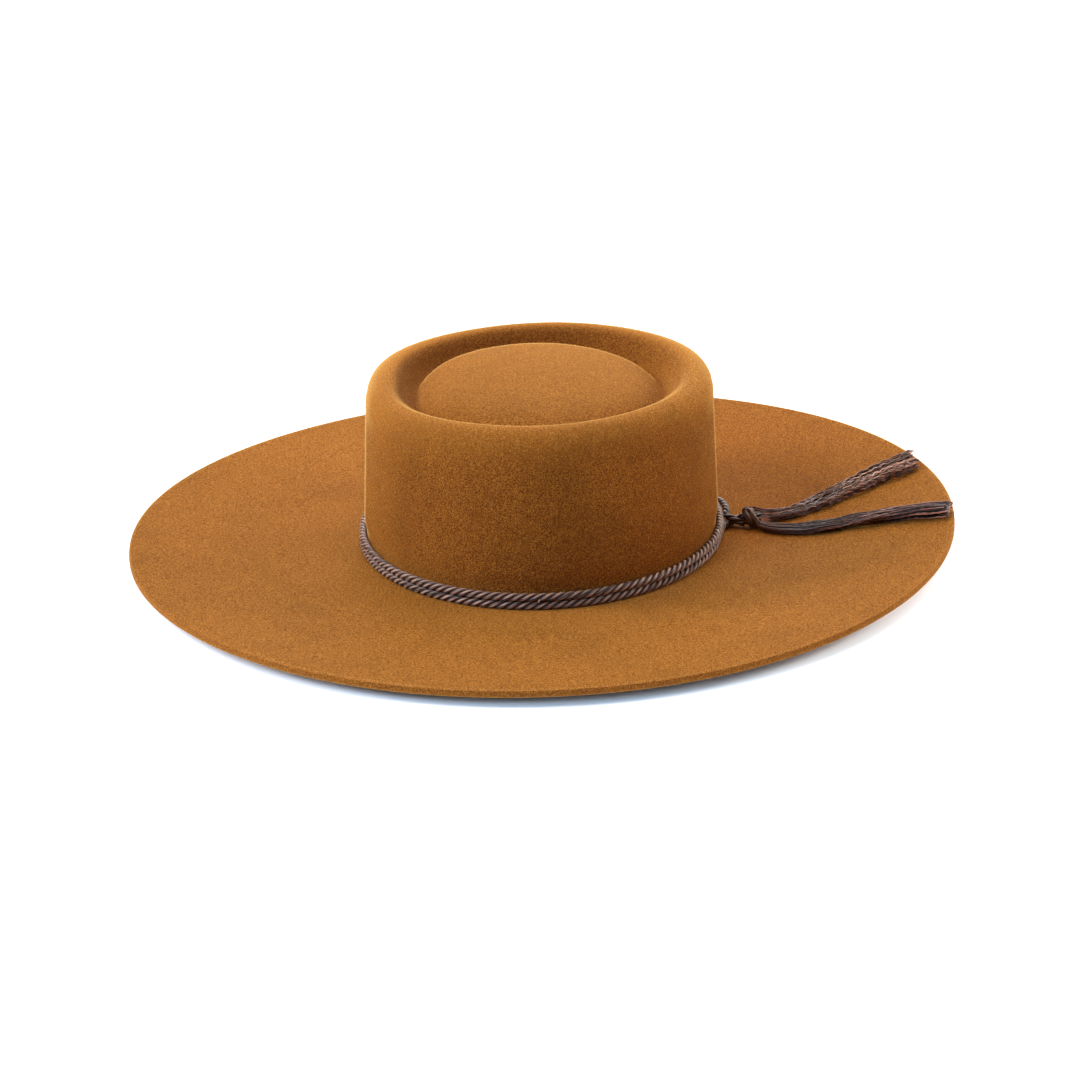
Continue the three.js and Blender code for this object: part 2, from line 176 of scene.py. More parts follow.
def felt_skin(wall, brim_height):
    """One skin of the felt, from the dome's middle to the brim, as pairs of half width and height."""
    rows = [(0.0, DOME_TOP - wall)]
    for half_width in np.linspace(0.0, LIP_MIDDLE_WIDTH, TOP_ROWS)[1:-1]:
        rise = top_height(half_width + SLOPE_STEP) - top_height(half_width - SLOPE_STEP)
        slope = rise / (2 * SLOPE_STEP)
        inside = wall / math.hypot(1.0, slope)
        rows.append((half_width + slope * inside, top_height(half_width) - inside))
    rows += arc(LIP_MIDDLE_WIDTH, LIP_MIDDLE_HEIGHT, LIP_RADIUS - wall, 90, 0, ROLL_ROWS)
    break_height = FELT_BRIM + BREAK_RADIUS
    for height in np.linspace(LIP_MIDDLE_HEIGHT, break_height, FLANK_ROWS)[1:-1]:
        tapered = CROWN_HALF_WIDTH + (LIP_HALF_WIDTH - CROWN_HALF_WIDTH) * ramp(
            height, FELT_BRIM, LIP_MIDDLE_HEIGHT)
        pressed = 1.0 - smooth_ramp(height, WAIST_TOP, WAIST_TOP + WAIST_RETURN)
        rows.append((tapered + (WAIST_HALF_WIDTH - tapered) * pressed - wall, height))
    fold_middle = WAIST_HALF_WIDTH + BREAK_RADIUS
    for turn in np.radians(np.linspace(180.0, 270.0, FOLD_ROWS)):
        rows.append((
            fold_middle + (BREAK_RADIUS + wall) * math.cos(turn),
            break_height + (break_height - brim_height) * math.sin(turn),
        ))
    for share in np.append(np.linspace(0.0, 1.0, BRIM_ROWS)[1:-1], RIM_ROWS):
        rows.append((fold_middle + share * (RIM_HALF_WIDTH - EDGE_ROUND - fold_middle), brim_height))
    return rows


top_rows = felt_skin(0.0, FELT_BRIM)
edge_rows = (
    arc(RIM_HALF_WIDTH - EDGE_ROUND, FELT_BRIM - EDGE_ROUND, EDGE_ROUND, 90, 0, 4)[1:]
    + [(RIM_HALF_WIDTH + EDGE_BULGE, FELT_BRIM / 2)]
    + arc(RIM_HALF_WIDTH - EDGE_ROUND, EDGE_ROUND, EDGE_ROUND, 0, -90, 4)[:-1]
)
# The inner skin keeps every second row. Their number is odd, so it ends at the middle and closes there.
felt_rows = top_rows + edge_rows + felt_skin(FELT_CROWN, 0.0)[::-2]

bpy.ops.object.select_all(action="DESELECT")
bpy.ops.mesh.primitive_plane_add(size=0.001)
felt = bpy.context.object
felt.name = "felt_hood"
bpy.ops.object.mode_set(mode="EDIT")
bpy.ops.mesh.select_all(action="SELECT")
bpy.ops.mesh.merge(type="CENTER")
bpy.ops.transform.translate(value=(felt_rows[0][0], 0.0, felt_rows[0][1]))
for (near, low), (far, high) in zip(felt_rows, felt_rows[1:]):
    bpy.ops.mesh.extrude_vertices_move(
        TRANSFORM_OT_translate={"value": (far - near, 0.0, high - low)})
bpy.ops.mesh.select_all(action="SELECT")
bpy.ops.mesh.spin(
    steps=FELT_SEGMENTS, angle=2 * math.pi, center=(0, 0, 0), axis=(0, 0, 1), use_auto_merge=True)
bpy.ops.mesh.select_all(action="SELECT")
bpy.ops.mesh.remove_doubles(threshold=0.000005)
bpy.ops.mesh.normals_make_consistent(inside=False)
bpy.ops.object.mode_set(mode="OBJECT")

spun = np.empty(len(felt.data.vertices) * 3)
felt.data.vertices.foreach_get("co", spun)
spun = spun.reshape(-1, 3)


def mark(mesh, name, values):
    mesh.attributes.new(name, "FLOAT", "POINT").data.foreach_set("value", values)


# Marks on the felt, by half width on the round hood: the raw cut, which at the front reaches a little over
# the corner, the lip and dome made paler by painted light, the channel darkened by painted shade, the lip
# and the felt outside the channel that take a painted sheen, painted highlights on the rim's two corners,
# and level felt.
CHANNEL_IN = (0.056, 0.062)
CHANNEL_OUT = (0.067, 0.071)
TOP_OF_CROWN = (0.066, 0.078)
DOME_PAINTED_LIGHT = (0.045, 0.060)
LIP_PAINTED_LIGHT = (0.066, 0.074)
LIP_LIT = (0.0665, 0.0705)
TOP_LEVEL = (0.074, 0.082)
BRIM_LEVEL = (0.087, 0.090)
CUT_FACE = (0.0006, 0.0002)
CUT_OVER_CORNER = (0.0013, 0.0011)
LIT_CORNER = (0.0012, 0.0006)
LOWER_LIT_CORNER = (0.0005, 0.0002)
out = np.hypot(spun[:, 0], spun[:, 1])
height = spun[:, 2]
at_back = smooth_ramp(spun[:, 1] / np.maximum(out, 1e-6), -0.35, 0.45)
on_top = ramp(height, *TOP_OF_CROWN)
channel = on_top * smooth_ramp(out, *CHANNEL_IN) * (1.0 - smooth_ramp(out, *CHANNEL_OUT))


def out_to_rim(start, stop):
    return ramp(out, RIM_HALF_WIDTH - start, RIM_HALF_WIDTH - stop)


mark(felt.data, "raw_edge", ramp(height, -0.0001, 0.0003) * np.maximum(
    out_to_rim(*CUT_FACE) * ramp(-height, -FELT_BRIM - 0.0001, -FELT_BRIM + 0.0003),
    out_to_rim(*CUT_OVER_CORNER) * (1.0 - at_back)))
# Painted light: the lip and the dome's top are painted paler, the lip most of all at its back.
mark(felt.data, "top_painted_light", on_top * (
    smooth_ramp(out, *LIP_PAINTED_LIGHT) * (1.0 + 1.5 * at_back ** 3)
    + 0.50 * (1.0 - smooth_ramp(out, *DOME_PAINTED_LIGHT))))
mark(felt.data, "edge_lit", 1.0 - channel)
# Painted shade in the channel, deepest at the left.
mark(felt.data, "sunk", channel * (0.60 - 0.40 * spun[:, 0] / np.maximum(out, 1e-6)))
mark(felt.data, "lip", on_top * smooth_ramp(out, *LIP_LIT))
# Painted highlights on the brim's corners: a pale line along the upper corner at the back, and a fainter
# one along the lower corner all round.
mark(felt.data, "painted_corner_light", (
    at_back * out_to_rim(*LIT_CORNER) * ramp(height, FELT_BRIM - 0.0004, FELT_BRIM - 0.0002)
    + 0.6 * out_to_rim(*LOWER_LIT_CORNER) * ramp(-height, -0.0005, -0.0002)))
mark(felt.data, "level", np.maximum(
    smooth_ramp(out, *BRIM_LEVEL), on_top * (1.0 - smooth_ramp(out, *TOP_LEVEL))))
felt.data.vertices.foreach_set("co", block_on_oval(spun).ravel())
bpy.ops.object.shade_smooth()


def new_material(name, roughness, **sockets):
    material = bpy.data.materials.new(name)
    material.use_nodes = True
    shader = material.node_tree.nodes["Principled BSDF"]
    shader.inputs["Roughness"].default_value = roughness
    for socket, value in sockets.items():
        shader.inputs[socket.replace("_", " ")].default_value = value
    return material, shader


def add_node(tree, kind, inputs=(), **settings):
    node = tree.nodes.new(kind)
    for name, value in settings.items():
        setattr(node, name, value)
    for key, value in dict(inputs).items():
        if isinstance(value, bpy.types.NodeSocket):
            tree.links.new(value, node.inputs[key])
        else:
            node.inputs[key].default_value = value
    return node


def mix_colours(tree, share, first, second):
    """Colour mixing: the Mix node keeps its colour sockets at places 6 and 7, and its result at 2."""
    return add_node(tree, "ShaderNodeMix", {0: share, 6: first, 7: second}, data_type="RGBA").outputs[2]


def map_value(tree, value, low, high, to_low=0.0, to_high=1.0):
    return add_node(tree, "ShaderNodeMapRange", {
        "Value": value, "From Min": low, "From Max": high, "To Min": to_low, "To Max": to_high,
    }).outputs["Result"]


def multiply(tree, first, second):
    return add_node(tree, "ShaderNodeMath", {0: first, 1: second}, operation="MULTIPLY").outputs[0]


def add_up(tree, first, second):
    return add_node(tree, "ShaderNodeMath", {0: first, 1: second}, operation="ADD").outputs[0]


def read_mark(tree, name):
    return add_node(tree, "ShaderNodeAttribute", attribute_name=name).outputs["Fac"]


def add_noise(tree, place, scale, detail, roughness, distortion=0.0):
    return add_node(tree, "ShaderNodeTexNoise", {
        "Vector": place, "Scale": scale, "Detail": detail, "Roughness": roughness,
        "Distortion": distortion}).outputs["Fac"]


FELT_DEEP = (0.130, 0.036, 0.0040, 1.0)
FELT_MAIN = (0.282, 0.0770, 0.0083, 1.0)
FELT_PALE = (0.490, 0.174, 0.0250, 1.0)
FELT_SHEEN_LIGHT = (0.850, 0.480, 0.1300, 1.0)
FELT_RAW = (0.190, 0.055, 0.0100, 1.0)
GRAIN_MIDDLE = 1.50
GRAIN_DEEP = 1.31
GRAIN_PALE = 1.69
felt_material, felt_shader = new_material(
    "brushed_wool_felt", 0.92, Specular_IOR_Level=0.05, Diffuse_Roughness=1.0,
    Sheen_Weight=0.25, Sheen_Roughness=0.35, Sheen_Tint=(1.0, 0.52, 0.11, 1.0))
tree = felt_material.node_tree
place = add_node(tree, "ShaderNodeTexCoord").outputs["Object"]
clouds = add_noise(tree, place, 24.0, 4.0, 0.6)
tufts = add_noise(tree, place, 1500.0, 1.0, 0.6)
nap = add_noise(tree, place, 2200.0, 1.0, 0.7, 0.5)
specks = add_noise(tree, place, 3000.0, 1.0, 0.5)
grain = add_up(tree, add_up(tree, nap, tufts), specks)
base = mix_colours(tree, map_value(tree, grain, GRAIN_MIDDLE, GRAIN_DEEP), FELT_MAIN, FELT_DEEP)
base = mix_colours(tree, map_value(tree, grain, GRAIN_MIDDLE, GRAIN_PALE), base, FELT_PALE)
base = mix_colours(tree, map_value(tree, clouds, 0.48, 0.70, 0.0, 0.34), base, FELT_DEEP)
level = read_mark(tree, "level")
brushed = add_noise(tree, place, 1000.0, 1.0, 0.6)
for low, high, tone in ((0.50, 0.36, FELT_DEEP), (0.50, 0.64, FELT_PALE)):
    strength = multiply(tree, map_value(tree, brushed, low, high, 0.0, 0.55), level)
    base = mix_colours(tree, strength, base, tone)
# Painted light makes the lip and the dome's top paler; painted shade darkens the channel.
for name, strongest, amount, tone in (("top_painted_light", 2.5, 0.65, FELT_PALE), ("sunk", 1.0, 0.75, FELT_DEEP)):
    strength = map_value(tree, read_mark(tree, name), 0.0, strongest, 0.0, amount)
    base = mix_colours(tree, strength, base, tone)
# Painted sheen: the nap's sheen at a glancing angle is painted into the colour, strongest on the lip and
# left out of the channel.
facing = add_node(tree, "ShaderNodeLayerWeight", {"Blend": 0.5}).outputs["Facing"]
for name, low, high, amount in (("edge_lit", 0.90, 0.99, 0.85), ("lip", 0.74, 0.94, 0.50)):
    sheen = multiply(tree, map_value(tree, facing, low, high, 0.0, amount), read_mark(tree, name))
    base = mix_colours(tree, sheen, base, FELT_SHEEN_LIGHT)
raw_speckled = mix_colours(tree, map_value(tree, grain, 1.39, GRAIN_PALE), FELT_RAW, FELT_PALE)
base = mix_colours(tree, read_mark(tree, "raw_edge"), base, raw_speckled)
# Painted highlight on the brim's two corners.
corner = map_value(tree, read_mark(tree, "painted_corner_light"), 0.0, 1.0, 0.0, 0.55)
base = mix_colours(tree, corner, base, FELT_SHEEN_LIGHT)
tree.links.new(base, felt_shader.inputs["Base Color"])
bump = add_node(tree, "ShaderNodeBump", {"Height": grain, "Strength": 0.45, "Distance": 0.0005})
tree.links.new(bump.outputs["Normal"], felt_shader.inputs["Normal"])
felt.data.materials.append(felt_material)
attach(felt, "root")
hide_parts("felt_body")


# Nap. Fine hairs of the brushed wool stand out of the felt's outer face, most of them along the lip and
# the brim's edge, where they catch the light from behind.
NAP_HAIRS = 46000
HAIR_LENGTH = 0.00075
HAIR_WIDTH = 0.00008
HAIRS_ON_BRIM = 0.10
HAIRS_ON_CROWN = 0.55
HAIRS_AT_RIM = 4.0
HAIRS_ON_LIP = 2.6
HAIRY_WALL = (0.004, 0.012)
HAIRY_RIM = (0.0045, 0.0015)
HAIRY_LIP_OUT = (0.0690, 0.0735)
HAIRY_LIP_UP = (0.074, 0.079)
HAIR_SWEEP = 0.45
bpy.ops.object.select_all(action="DESELECT")
bpy.ops.mesh.primitive_cone_add(
    vertices=3, radius1=HAIR_WIDTH / 2, depth=1.0, location=(0, 0, 0.5), end_fill_type="NGON")
one_hair = bpy.context.object
bpy.ops.object.transform_apply(location=True, rotation=False, scale=False)
hair_corners = np.array([tuple(corner.co) for corner in one_hair.data.vertices])
hair_faces = [tuple(face.vertices) for face in one_hair.data.polygons]
hair_pattern = one_hair.data
bpy.data.objects.remove(one_hair)
bpy.data.meshes.remove(hair_pattern)

nap_draw = np.random.default_rng(31)
skin = np.array(top_rows + edge_rows)
skin_step = np.diff(skin, axis=0)
half_width, height = ((skin[1:] + skin[:-1]) / 2).T
at_rim = smooth_ramp(half_width, RIM_HALF_WIDTH - HAIRY_RIM[0], RIM_HALF_WIDTH - HAIRY_RIM[1])
on_lip = smooth_ramp(half_width, *HAIRY_LIP_OUT) * smooth_ramp(height, *HAIRY_LIP_UP)
hairiness = (HAIRS_ON_BRIM + ramp(height, *HAIRY_WALL) * HAIRS_ON_CROWN + HAIRS_AT_RIM * at_rim
             + HAIRS_ON_LIP * on_lip)
hairiness *= height > FELT_BRIM - 0.0001
share = hairiness * half_width * np.hypot(*skin_step.T)
row = nap_draw.choice(len(share), NAP_HAIRS, p=share / share.sum())
root = skin[row] + skin_step[row] * nap_draw.random((NAP_HAIRS, 1))
along = skin_step[row] / np.linalg.norm(skin_step[row], axis=1, keepdims=True)
raised = nap_draw.uniform(0.30, 0.85, NAP_HAIRS)
swept, aside = nap_draw.normal(0.0, HAIR_SWEEP, (2, NAP_HAIRS)) * (
    1.0 - 0.8 * (root[:, 0] > RIM_HALF_WIDTH - 0.005))
angle = nap_draw.uniform(-math.pi, math.pi, NAP_HAIRS)
outward = np.stack([np.cos(angle), np.sin(angle), np.zeros(NAP_HAIRS)], axis=1)
around = np.stack([-np.sin(angle), np.cos(angle), np.zeros(NAP_HAIRS)], axis=1)
upright = np.array([0.0, 0.0, 1.0])
lean = (outward * (along[:, :1] * swept[:, None] - along[:, 1:] * raised[:, None])
        + upright * (along[:, 1:] * swept[:, None] + along[:, :1] * raised[:, None])
        + around * aside[:, None])
lean *= (HAIR_LENGTH * nap_draw.uniform(0.5, 1.15, NAP_HAIRS) / np.linalg.norm(lean, axis=1))[:, None]
foot = outward * root[:, :1] + upright * root[:, 1:]
first_side = np.cross(lean, around + 0.3 * upright)
first_side /= np.linalg.norm(first_side, axis=1, keepdims=True)
second_side = np.cross(lean, first_side)
second_side /= np.linalg.norm(second_side, axis=1, keepdims=True)
placed = (
    foot[:, None] + lean[:, None] * hair_corners[None, :, 2:]
    + first_side[:, None] * hair_corners[None, :, :1] + second_side[:, None] * hair_corners[None, :, 1:2])
first_corner = len(hair_corners) * np.arange(NAP_HAIRS)[:, None]
nap_mesh = bpy.data.meshes.new("felt_nap")
nap_mesh.from_pydata(
    block_on_oval(placed.reshape(-1, 3)).tolist(), [],
    [face for corners in hair_faces for face in (first_corner + np.array(corners)).tolist()])
nap_mesh.update()
felt_nap = bpy.data.objects.new("felt_nap", nap_mesh)
bpy.context.scene.collection.objects.link(felt_nap)
nap_mesh.materials.append(new_material(
    "wool_hair", 0.8, Specular_IOR_Level=0.05, Base_Color=(0.820, 0.440, 0.1100, 1.0))[0])
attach(felt_nap, "root")


# Hat cord. One rayon cord of three plies is wound twice round the foot of the crown. At the wearer's
# left its two ends turn outwards and twist together as far as the knot, one of them in a small curl.
CORD_RADIUS = 0.0019
CORD_GAP = 0.0001
CORD_LAY = 0.0127
PLY_RADIUS = 0.00089
PLY_OFFSET = 0.00101
PLY_SIDES = 15
PLY_LOBES = 5
PLY_LOBE_DEPTH = 0.07
PLY_LOBE_TWIST = 260.0
END_RADIUS = 0.00178
END_SWING = 0.9 * END_RADIUS
END_TWIST = math.radians(170.0)
END_PAINTED_SHADE = 0.14
OPEN_FROM = 0.40
CORD_STEP = 0.001
TURNS_FROM = 68.0
TURNS_TO = 703.0
TURNS_EVERY = 6.0
CLIMB = (390.0, 416.0)
LAST_TURN_RADII = (0.0019, 0.0018, 0.0017)


def beside_crown(degrees, out, up):
    """Places beside the crown: degrees from the wearer's left, out from the wall, up from the brim."""
    angle = np.radians(degrees)
    half_width = WAIST_HALF_WIDTH + np.asarray(out, float)
    height = FELT_BRIM + np.asarray(up, float)
    place = block_on_oval(np.stack(np.broadcast_arrays(
        half_width * np.cos(angle), half_width * np.sin(angle), height), axis=-1).reshape(-1, 3))
    place[:, 2] = np.broadcast_to(height, place[:, 2].shape)
    return place


def along_route(points, values, step):
    """A smooth line through a few points, with a row of values beside it, at an even step."""
    rows = np.column_stack([np.asarray(points, float), np.asarray(values, float)])
    padded = np.vstack([2 * rows[0] - rows[1], rows, 2 * rows[-1] - rows[-2]])
    fine = []
    for a, b, c, d in zip(padded, padded[1:], padded[2:], padded[3:]):
        for t in np.linspace(0.0, 1.0, 12, endpoint=False):
            fine.append(0.5 * (2 * b + (c - a) * t + (2 * a - 5 * b + 4 * c - d) * t * t
                               + (3 * b - a - 3 * c + d) * t ** 3))
    fine = np.array(fine + [rows[-1]])
    run = run_of(fine[:, :3])
    at = np.linspace(0.0, run[-1], max(4, round(run[-1] / step) + 1))
    even = np.column_stack([np.interp(at, run, column) for column in fine.T])
    return even[:, :3], even[:, 3:]


def run_of(line):
    return np.concatenate([[0.0], np.cumsum(np.linalg.norm(np.diff(line, axis=0), axis=1))])


def carried_frame(line):
    """Two directions across a line at each of its points, carried along it without turning."""
    ahead = np.gradient(line, axis=0)
    ahead /= np.linalg.norm(ahead, axis=1, keepdims=True)
    side = np.cross(ahead[0], (0.0, 0.0, 1.0))
    if np.linalg.norm(side) < 0.2:
        side = np.cross(ahead[0], (1.0, 0.0, 0.0))
    sides = []
    for direction in ahead:
        side = side - direction * side.dot(direction)
        side = side / np.linalg.norm(side)
        sides.append(side)
    sides = np.array(sides)
    return sides, np.cross(sides, ahead)


def lay_threads(name, threads, sides):
    """Makes one mesh of closed tubes. Each has a line, a radius, a shade and the core it lies round."""
    corners, quads, caps, wraps = [], [], [], []
    marks = {"shade": [], "open": [], "tip": []}
    turns = 2 * np.pi * np.arange(sides) / sides
    count = 0
    for thread in threads:
        line = thread["line"]
        length = len(line)
        run = run_of(line)
        side, top = carried_frame(line)
        reach = np.broadcast_to(thread["radius"], (length,))[:, None] * (
            1.0 + thread.get("lobe", 0.0) * np.cos(
                PLY_LOBES * turns[None, :] + PLY_LOBE_TWIST * run[:, None]))
        ring = (line[:, None, :] + side[:, None, :] * (reach * np.cos(turns))[:, :, None]
                + top[:, None, :] * (reach * np.sin(turns))[:, :, None])
        corners.append(ring.reshape(-1, 3))
        row, column = np.meshgrid(np.arange(length - 1), np.arange(sides), indexing="ij")
        start = count + row * sides + column
        beside = count + row * sides + (column + 1) % sides
        quads.append(np.stack([start, beside, beside + sides, start + sides], axis=-1).reshape(-1, 4))
        millimetres = run * 1000.0
        around = np.stack([column, column + 1, column + 1, column], axis=-1) / sides
        along = np.stack([millimetres[row], millimetres[row], millimetres[row + 1], millimetres[row + 1]],
                         axis=-1) + 37.0 * np.mean(thread["shade"])
        wraps.append(np.stack([around, along], axis=-1).reshape(-1, 2))
        caps.append([count + k for k in reversed(range(sides))])
        caps.append([count + (length - 1) * sides + k for k in range(sides)])
        core, core_radius = thread["core"]
        out = np.linalg.norm(ring - core[:, None, :], axis=2)
        out = out / np.broadcast_to(core_radius, (length,))[:, None]
        marks["open"].append(ramp(out, OPEN_FROM, 1.0).ravel())
        for name_of_mark in ("shade", "tip"):
            values = np.broadcast_to(thread.get(name_of_mark, 0.0), (length,))
            marks[name_of_mark].append(np.repeat(values, sides))
        count += length * sides
    mesh = bpy.data.meshes.new(name)
    mesh.from_pydata(np.concatenate(corners).tolist(), [], np.concatenate(quads).tolist() + caps)
    wrap = np.zeros((len(mesh.loops), 2))
    body = np.concatenate(wraps)
    wrap[:len(body)] = body
    mesh.uv_layers.new(name="thread_wrap").data.foreach_set("uv", wrap.ravel())
    for name_of_mark, values in marks.items():
        mark(mesh, name_of_mark, np.concatenate(values))
    mesh.polygons.foreach_set("use_smooth", np.ones(len(mesh.polygons), bool))
    mesh.update()
    piece = bpy.data.objects.new(name, mesh)
    bpy.context.scene.collection.objects.link(piece)
    return piece


def plies_of(line, radii):
    """The three plies of a cord that follows a line. Where the cord is drawn thin its lay is short."""
    side, top = carried_frame(line)
    thickness = radii / CORD_RADIUS
    step = np.diff(run_of(line), prepend=0.0)
    wound = np.cumsum(2 * np.pi * step / (CORD_LAY * thickness))
    offset = PLY_OFFSET * thickness
    # Painted shade on the thin twisted ends: their core is drawn wider, so more of them takes the dark
    # colour.
    shading_core = radii * (1.0 + END_PAINTED_SHADE * ramp(CORD_RADIUS - radii, 0.0, CORD_RADIUS - END_RADIUS))
    plies = []
    for k in range(3):
        turn = wound + 2 * np.pi * k / 3
        path = line + side * (offset * np.cos(turn))[:, None] + top * (offset * np.sin(turn))[:, None]
        plies.append({"line": path, "radius": PLY_RADIUS * thickness, "shade": 0.35 + 0.15 * k,
                      "lobe": PLY_LOBE_DEPTH, "core": (line, shading_core)})
    return plies


def twisted_end(side):
    """One of the two ends that twist round each other between the crown and the knot."""
    ahead = (pair_goal - pair_root) / np.linalg.norm(pair_goal - pair_root)
    across = np.cross(ahead, (0.0, 0.0, 1.0))
    across /= np.linalg.norm(across)
    top = np.cross(across, ahead)
    share = np.linspace(0.0, 1.0, 5)
    turn = math.radians(90 - side * 90) + END_TWIST * share
    return (pair_root + (pair_goal - pair_root) * share[:, None]
            + top * (END_SWING * np.cos(turn))[:, None] + across * (END_SWING * np.sin(turn))[:, None])


knot_middle = np.array([0.1020, -0.0035, 0.0078])
pair_root = np.array([0.0906, -0.0012, 0.0065])
pair_goal = knot_middle + (-0.0036, 0.0016, -0.0012)
curl = np.vstack([
    [(0.0897, 0.0014, 0.0084), (0.0903, 0.0054, 0.0090)],
    beside_crown([9.0, 14.0, 20.0, 28.0, 36.0, 44.0, 52.0, 60.0],
                 np.array([0.0058, 0.0051, 0.0042, 0.0037, 0.0046, 0.0056, 0.0050, 0.0030]),
                 np.array([0.0062, 0.0055, 0.0034, 0.0023, 0.0025, 0.0037, 0.0056, 0.0060]))])
curl_radii = np.linspace(END_RADIUS, CORD_RADIUS, len(curl))
last_turn = beside_crown([-7.5, -4.2, -1.8], np.array([0.0022, 0.0034, 0.0052]),
                         np.array([0.0021, 0.0024, 0.0028]))
turn_degrees = np.arange(TURNS_FROM, TURNS_TO, TURNS_EVERY)
stepped = smooth_ramp(turn_degrees, *CLIMB)
turn_up = (2 * CORD_GAP + 3 * CORD_RADIUS) * (1 - stepped) + (CORD_GAP + CORD_RADIUS) * stepped
turns_line = beside_crown(turn_degrees, CORD_GAP + CORD_RADIUS, turn_up)
upper_end, lower_end = twisted_end(1)[::-1], twisted_end(-1)
cord_line, cord_radii = along_route(
    np.vstack([upper_end, curl, turns_line, last_turn, lower_end]),
    np.concatenate([
        np.full(len(upper_end), END_RADIUS), curl_radii, np.full(len(turns_line), CORD_RADIUS),
        LAST_TURN_RADII, np.full(len(lower_end), END_RADIUS)])[:, None],
    CORD_STEP)
hat_cord = lay_threads("laid_cord", plies_of(cord_line, cord_radii[:, 0]), PLY_SIDES)

# The thread's look is shared by the cord, the knot and the tassels: fine fibres that run with the thread,
# painted shade where the threads lie close together, a painted highlight on each thread's outermost crest,
# and paler at the cut tips.
thread_look = bpy.data.node_groups.new("thread_look", "ShaderNodeTree")
for name, kind in (("Fibres Around", "NodeSocketFloat"), ("Painted Shade", "NodeSocketColor"),
                   ("Dark", "NodeSocketColor"), ("Middle", "NodeSocketColor"),
                   ("Light", "NodeSocketColor"), ("Tip", "NodeSocketColor")):
    thread_look.interface.new_socket(name, in_out="INPUT", socket_type=kind)
thread_look.interface.new_socket("Color", in_out="OUTPUT", socket_type="NodeSocketColor")
thread_look.interface.new_socket("Fibres", in_out="OUTPUT", socket_type="NodeSocketFloat")
given = thread_look.nodes.new("NodeGroupInput").outputs
result = thread_look.nodes.new("NodeGroupOutput").inputs
wrap = add_node(thread_look, "ShaderNodeUVMap", uv_map="thread_wrap").outputs["UV"]
across_and_along = add_node(thread_look, "ShaderNodeSeparateXYZ", {"Vector": wrap}).outputs
fibre_turn = multiply(thread_look, across_and_along["X"], 2 * math.pi)
fibre_place = add_node(thread_look, "ShaderNodeCombineXYZ", {
    "X": add_node(thread_look, "ShaderNodeMath", {0: fibre_turn}, operation="COSINE").outputs[0],
    "Y": add_node(thread_look, "ShaderNodeMath", {0: fibre_turn}, operation="SINE").outputs[0],
    "Z": map_value(thread_look, across_and_along["Y"], 0.0, 100.0, 0.0, 12.0)}).outputs["Vector"]
fibres = add_node(thread_look, "ShaderNodeTexNoise", {
    "Vector": fibre_place, "Scale": given["Fibres Around"], "Detail": 3.0, "Roughness": 0.65},
).outputs["Fac"]
opened = read_mark(thread_look, "open")
colour = mix_colours(thread_look, read_mark(thread_look, "shade"), given["Dark"], given["Middle"])
# Painted highlight on each thread's outermost crest.
crest_highlight = multiply(thread_look, map_value(thread_look, opened, 0.78, 1.0),
                  map_value(thread_look, fibres, 0.40, 0.58))
colour = mix_colours(thread_look, crest_highlight, colour, given["Light"])
colour = mix_colours(
    thread_look, map_value(thread_look, fibres, 0.46, 0.34, 0.0, 0.8), colour, given["Dark"])
# Painted shade where a thread lies deep among the others, away from the open surface.
colour = mix_colours(
    thread_look, map_value(thread_look, opened, 0.05, 0.60), given["Painted Shade"], colour)
colour = mix_colours(thread_look, read_mark(thread_look, "tip"), colour, given["Tip"])
thread_look.links.new(colour, result["Color"])
thread_look.links.new(fibres, result["Fibres"])


def thread_material(name, roughness, bump_strength, around, painted_shade, dark, middle, light, cut):
    material, shader = new_material(
        name, roughness, Specular_IOR_Level=0.25, Sheen_Weight=0.15, Sheen_Roughness=0.35,
        Sheen_Tint=(1.0, 0.70, 0.60, 1.0))
    tree = material.node_tree
    look = add_node(tree, "ShaderNodeGroup", node_tree=thread_look)
    for socket, value in (("Fibres Around", around), ("Painted Shade", painted_shade), ("Dark", dark),
                          ("Middle", middle), ("Light", light), ("Tip", cut)):
        look.inputs[socket].default_value = value
    tree.links.new(look.outputs["Color"], shader.inputs["Base Color"])
    bump = add_node(tree, "ShaderNodeBump", {
        "Height": look.outputs["Fibres"], "Strength": bump_strength, "Distance": 0.00025})
    tree.links.new(bump.outputs["Normal"], shader.inputs["Normal"])
    return material


cord_material = thread_material(
    "laid_cord_thread", roughness=0.38, bump_strength=0.9, around=1.3,
    painted_shade=(0.007, 0.003, 0.002, 1.0), dark=(0.045, 0.027, 0.020, 1.0),
    middle=(0.130, 0.080, 0.060, 1.0), light=(0.500, 0.270, 0.180, 1.0),
    cut=(0.300, 0.240, 0.220, 1.0))
hat_cord.data.materials.append(cord_material)
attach(hat_cord, "root")
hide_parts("hat_cord")


# Tack stitch. A stitch of pale waxed thread at the front holds the cord's two turns together.
STITCH_RADIUS = 0.00026
STITCH_SIDES = 8
stitch_turn = np.radians(np.linspace(-80.0, 80.0, 9))[:, None]
stitch_line = beside_crown(-91.2, 0.0036, 0.0047) + np.hstack([
    0.0003 * np.sin(stitch_turn), -0.0005 * np.cos(stitch_turn), 0.0006 * np.sin(stitch_turn)])
tack_stitch = lay_threads("tack_stitch", [{
    "line": stitch_line, "radius": STITCH_RADIUS, "shade": 1.0,
    "core": (stitch_line, STITCH_RADIUS)}], STITCH_SIDES)
stitch_material = thread_material(
    "pale_waxed_thread", roughness=0.35, bump_strength=0.4, around=1.0,
    painted_shade=(0.220, 0.140, 0.075, 1.0), dark=(0.260, 0.170, 0.095, 1.0),
    middle=(0.520, 0.370, 0.220, 1.0), light=(0.700, 0.520, 0.330, 1.0),
    cut=(0.520, 0.370, 0.220, 1.0))
tack_stitch.data.materials.append(stitch_material)
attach(tack_stitch, "root")


